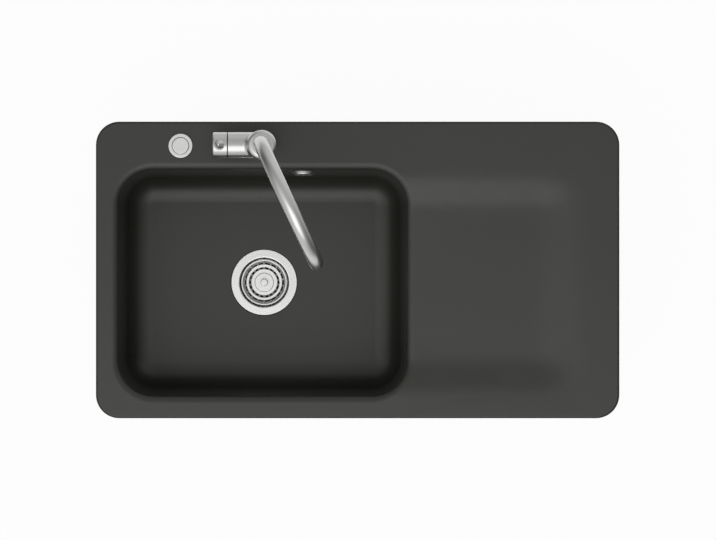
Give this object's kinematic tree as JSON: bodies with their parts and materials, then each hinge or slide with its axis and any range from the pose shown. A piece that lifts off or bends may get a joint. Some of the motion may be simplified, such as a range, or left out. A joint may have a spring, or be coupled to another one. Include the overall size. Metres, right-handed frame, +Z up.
{
  "type": "ceramic kitchen sink",
  "caption": "Inset dark ceramic kitchen sink with a rectangular bowl, a dished draining board, a gooseneck side-lever mixer tap and a push-button basket waste.",
  "frame": {"origin": "middle of the sink's outline on the worktop plane, where the underside of the rim rests", "axes": "+X to the right towards the draining board, +Y towards the back edge with the tap, +Z up"},
  "size_m": [0.9, 0.51, 0.6486],
  "materials": {
    "glazed_ceramic": "satin",
    "satin_steel": "satin",
    "plain_steel": "plain",
    "brass": "turned",
    "black_plastic": "moulded",
    "grey_pipe": "moulded",
    "white_plastic": "moulded",
    "rubber": "matt",
    "valve_ceramic": "ground"
  },
  "bodies": {
    "sink": {"sink_body": "glazed_ceramic", "waste_flange": "satin_steel", "overflow_cover": "satin_steel", "button_bezel": "satin_steel", "tap_body": "satin_steel", "spout_collar": "satin_steel", "dome_ring": "satin_steel", "clamp_screw": "plain_steel", "overflow_screw": "plain_steel", "button_spring": "plain_steel", "tap_steel_washer": "plain_steel", "stop_screw": "plain_steel", "tap_shank": "brass", "tap_nut": "brass", "cable_gland": "brass", "waste_body": "black_plastic", "ball_nut": "black_plastic", "overflow_head": "black_plastic", "upper_pipe_nut": "black_plastic", "lower_pipe_nut": "black_plastic", "button_nut": "black_plastic", "button_washer": "black_plastic", "cable_housing": "black_plastic", "overflow_pipe": "grey_pipe", "ball_seats": "white_plastic", "thrust_ring": "white_plastic", "cartridge_body": "white_plastic", "flange_gasket": "rubber", "body_gasket": "rubber", "overflow_gasket": "rubber", "upper_pipe_seal": "rubber", "lower_pipe_seal": "rubber", "button_gasket": "rubber", "tap_seal": "rubber", "tap_rubber_washer": "rubber", "fixed_disc": "valve_ceramic"},
    "spout": {"spout": "satin_steel", "spout_tail": "brass", "spout_o_rings": "rubber", "aerator_housing": "satin_steel", "aerator_insert": "white_plastic"},
    "mixer": {"cartridge_carrier": "white_plastic", "carrier_pin": "plain_steel", "control_disc": "valve_ceramic"},
    "lever": {"cartridge_stem": "plain_steel", "handle_cap": "satin_steel", "lever_pin": "satin_steel", "handle_screw": "plain_steel"},
    "button": {"push_button": "satin_steel"},
    "lift": {"lift_pin": "plain_steel"},
    "rod": {"pivot_rod": "plain_steel"},
    "basket": {"strainer_basket": "satin_steel", "basket_knob": "satin_steel", "seal_spindle": "black_plastic", "basket_seal": "rubber"}
  },
  "joints": [
    {"name": "spout_swivel", "type": "hinge", "parent": "sink", "child": "spout", "pos_m": [-0.1635, 0.2135, 0.1], "axis": [0, 0, 1], "range_deg": [-100, 50]},
    {"name": "mixer_turn", "type": "hinge", "parent": "sink", "child": "mixer", "pos_m": [-0.2015, 0.2135, 0.0677], "axis": [1, 0, 0], "range_deg": [-45, 45]},
    {"name": "lever_tilt", "type": "hinge", "parent": "mixer", "child": "lever", "pos_m": [-0.2015, 0.2135, 0.0677], "axis": [0, -1, 0], "range_deg": [0, 22]},
    {"name": "button_press", "type": "slide", "parent": "sink", "child": "button", "axis": [0, 0, -1], "range_m": [0, 0.006], "stiffness_N_per_m": 900, "springref_m": -0.004, "deforming": ["button_spring"]},
    {"name": "lift_slide", "type": "slide", "parent": "sink", "child": "lift", "axis": [0, 0, 1], "range_m": [0, 0.009]},
    {"name": "rod_tip", "type": "hinge", "parent": "sink", "child": "rod", "pos_m": [-0.2195, -0.02175, -0.2447], "axis": [0, -1, 0], "range_deg": [0, 9.19]},
    {"name": "basket_lift", "type": "slide", "parent": "lift", "child": "basket", "axis": [0, 0, 1], "range_m": [0, 0.12]}
  ],
  "couplings": [
    {"joint": "lift_slide", "follows": "button_press", "ratio": 1.5},
    {"joint": "rod_tip", "follows": "button_press", "rad_per_m": 26.72}
  ]
}
